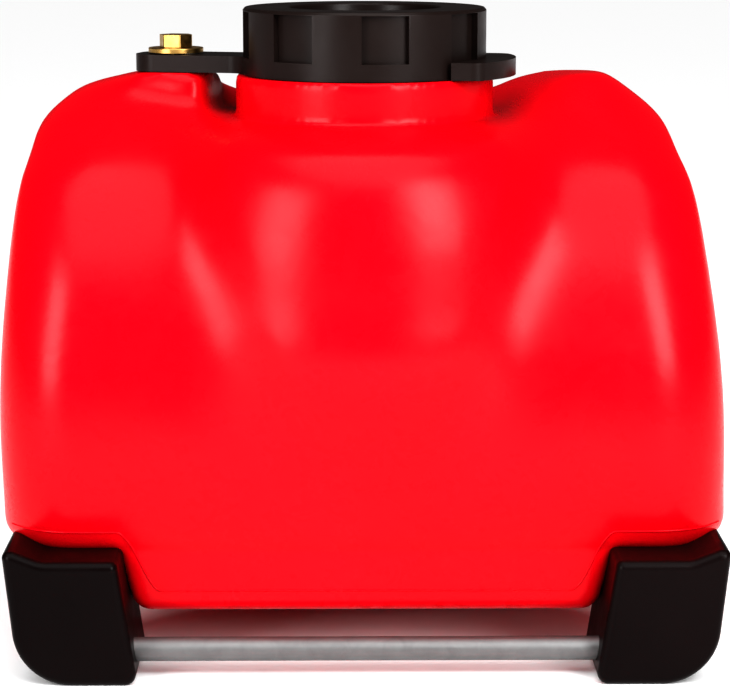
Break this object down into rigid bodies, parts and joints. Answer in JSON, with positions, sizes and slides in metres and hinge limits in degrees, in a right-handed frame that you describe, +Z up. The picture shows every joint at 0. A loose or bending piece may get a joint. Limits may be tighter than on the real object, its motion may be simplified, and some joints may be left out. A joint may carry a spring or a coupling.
{
  "type": "liquid reservoir tank",
  "caption": "Moulded red liquid reservoir on four black feet, with a wide screw cap locked by a bolted ear, tie rods and a rear outlet plug.",
  "frame": {"origin": "on the ground under the filler neck's axis, which is the middle of the bounding box", "axes": "+X to the right and along the tie rods, -Y to the front, +Z up along the neck's axis"},
  "size_m": [0.3052, 0.208, 0.2703],
  "materials": {
    "shell_plastic": "glossy moulded red",
    "cap_plastic": "glossy moulded black",
    "foot_plastic": "satin black",
    "gasket_rubber": "soft black",
    "strainer_plastic": "natural, slightly translucent",
    "zinc_yellow": "yellow passivated zinc",
    "rod_steel": "bright zinc",
    "insert_brass": "turned"
  },
  "bodies": {
    "tank": {"tank_shell": "shell_plastic", "filler_strainer": "strainer_plastic", "lock_insert": "insert_brass", "foot_front_left": "foot_plastic", "foot_front_right": "foot_plastic", "foot_rear_left": "foot_plastic", "foot_rear_right": "foot_plastic", "tie_rod_front": "rod_steel", "tie_rod_rear": "rod_steel", "foot_screws": "rod_steel", "foot_washers": "rod_steel", "foot_inserts": "insert_brass", "outlet_insert": "insert_brass"},
    "gasket_ring": {"cap_gasket": "gasket_rubber"},
    "cap_body": {"cap": "cap_plastic", "vent_valve": "gasket_rubber"},
    "bolt_washer": {"lock_washer": "zinc_yellow"},
    "bolt_body": {"lock_bolt": "zinc_yellow"},
    "plug_seal": {"outlet_seal": "gasket_rubber"},
    "plug_body": {"outlet_plug": "insert_brass"}
  },
  "joints": [
    {"name": "cap_lift", "type": "slide", "parent": "tank", "child": "gasket_ring", "axis": [0, 0, 1], "range_m": [0, 0.005]},
    {"name": "cap_turn", "type": "hinge", "parent": "gasket_ring", "child": "cap_body", "pos_m": [0, 0, 0.25], "axis": [0, 0, 1], "range_deg": [0, 300]},
    {"name": "bolt_lift", "type": "slide", "parent": "tank", "child": "bolt_washer", "axis": [0, 0, 1], "range_m": [0, 0.0125]},
    {"name": "bolt_turn", "type": "hinge", "parent": "bolt_washer", "child": "bolt_body", "pos_m": [-0.08232, 0.01992, 0.24], "axis": [0, 0, 1], "range_deg": [0, 3600]},
    {"name": "plug_draw", "type": "slide", "parent": "tank", "child": "plug_seal", "axis": [0, 1, 0], "range_m": [0, 0.00907]},
    {"name": "plug_turn", "type": "hinge", "parent": "plug_seal", "child": "plug_body", "pos_m": [0, 0.09, 0.054], "axis": [0, 1, 0], "range_deg": [0, 1800]}
  ],
  "couplings": [
    {"joint": "cap_lift", "follows": "cap_turn", "m_per_rad": 0.00095493},
    {"joint": "bolt_lift", "follows": "bolt_turn", "m_per_rad": 0.00019894},
    {"joint": "plug_draw", "follows": "plug_turn", "m_per_rad": 0.00028871}
  ]
}
